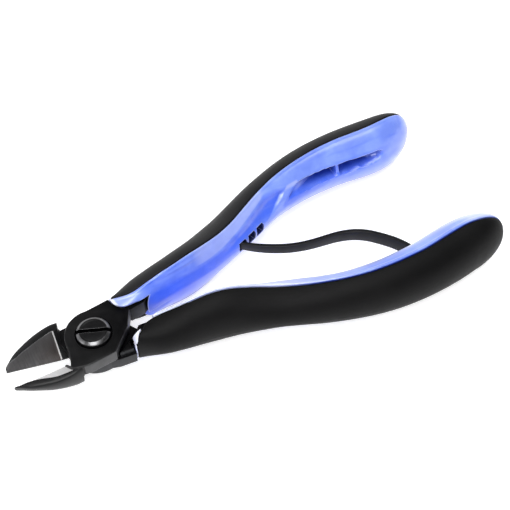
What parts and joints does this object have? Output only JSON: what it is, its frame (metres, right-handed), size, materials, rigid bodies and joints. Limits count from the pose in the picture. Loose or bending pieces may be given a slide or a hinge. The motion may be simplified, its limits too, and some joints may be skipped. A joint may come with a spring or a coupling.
{
  "type": "flush cutter",
  "caption": "Hand-held flush cutter: tapered ground jaws on a slotted pivot screw, two-material ergonomic handles and an S-shaped leaf return spring.",
  "frame": {"origin": "on the pivot axis where the pivot screw ends flush with the head's flat underside; the lap joint's parting plane is 4 mm above", "axes": "+X towards the cutting tips along the closing plane, +Y towards half B's handle, +Z along the pivot axis towards the slotted screw head; drawn with the jaws open at the spring's rest"},
  "size_m": [0.1447, 0.0646, 0.0203],
  "materials": {
    "head_steel": "black-oxide tool steel with ground bevels",
    "screw_steel": "black-oxide screw with a bright chamfer",
    "hard_core": "semi-gloss moulded hard plastic, blue",
    "soft_grip": "satin over-moulded elastomer, black",
    "spring": "blackened spring steel"
  },
  "bodies": {
    "half_b": {"half_b_steel": "head_steel", "core_b": "hard_core", "grip_b": "soft_grip", "leaf_spring": "spring"},
    "half_a": {"half_a_steel": "head_steel", "core_a": "hard_core", "grip_a": "soft_grip"},
    "screw": {"pivot_screw": "screw_steel"}
  },
  "joints": [
    {"name": "handle_pivot", "type": "hinge", "parent": "half_b", "child": "half_a", "pos_m": [0, 0, 0.004], "axis": [0, 0, 1], "range_deg": [-12.2, 2], "stiffness_Nm_per_rad": 0.6, "deforming": ["leaf_spring"]},
    {"name": "screw_turn", "type": "hinge", "parent": "half_b", "child": "screw", "pos_m": [0, 0, 0.004], "axis": [0, 0, 1], "range_deg": [-30, 30]}
  ]
}
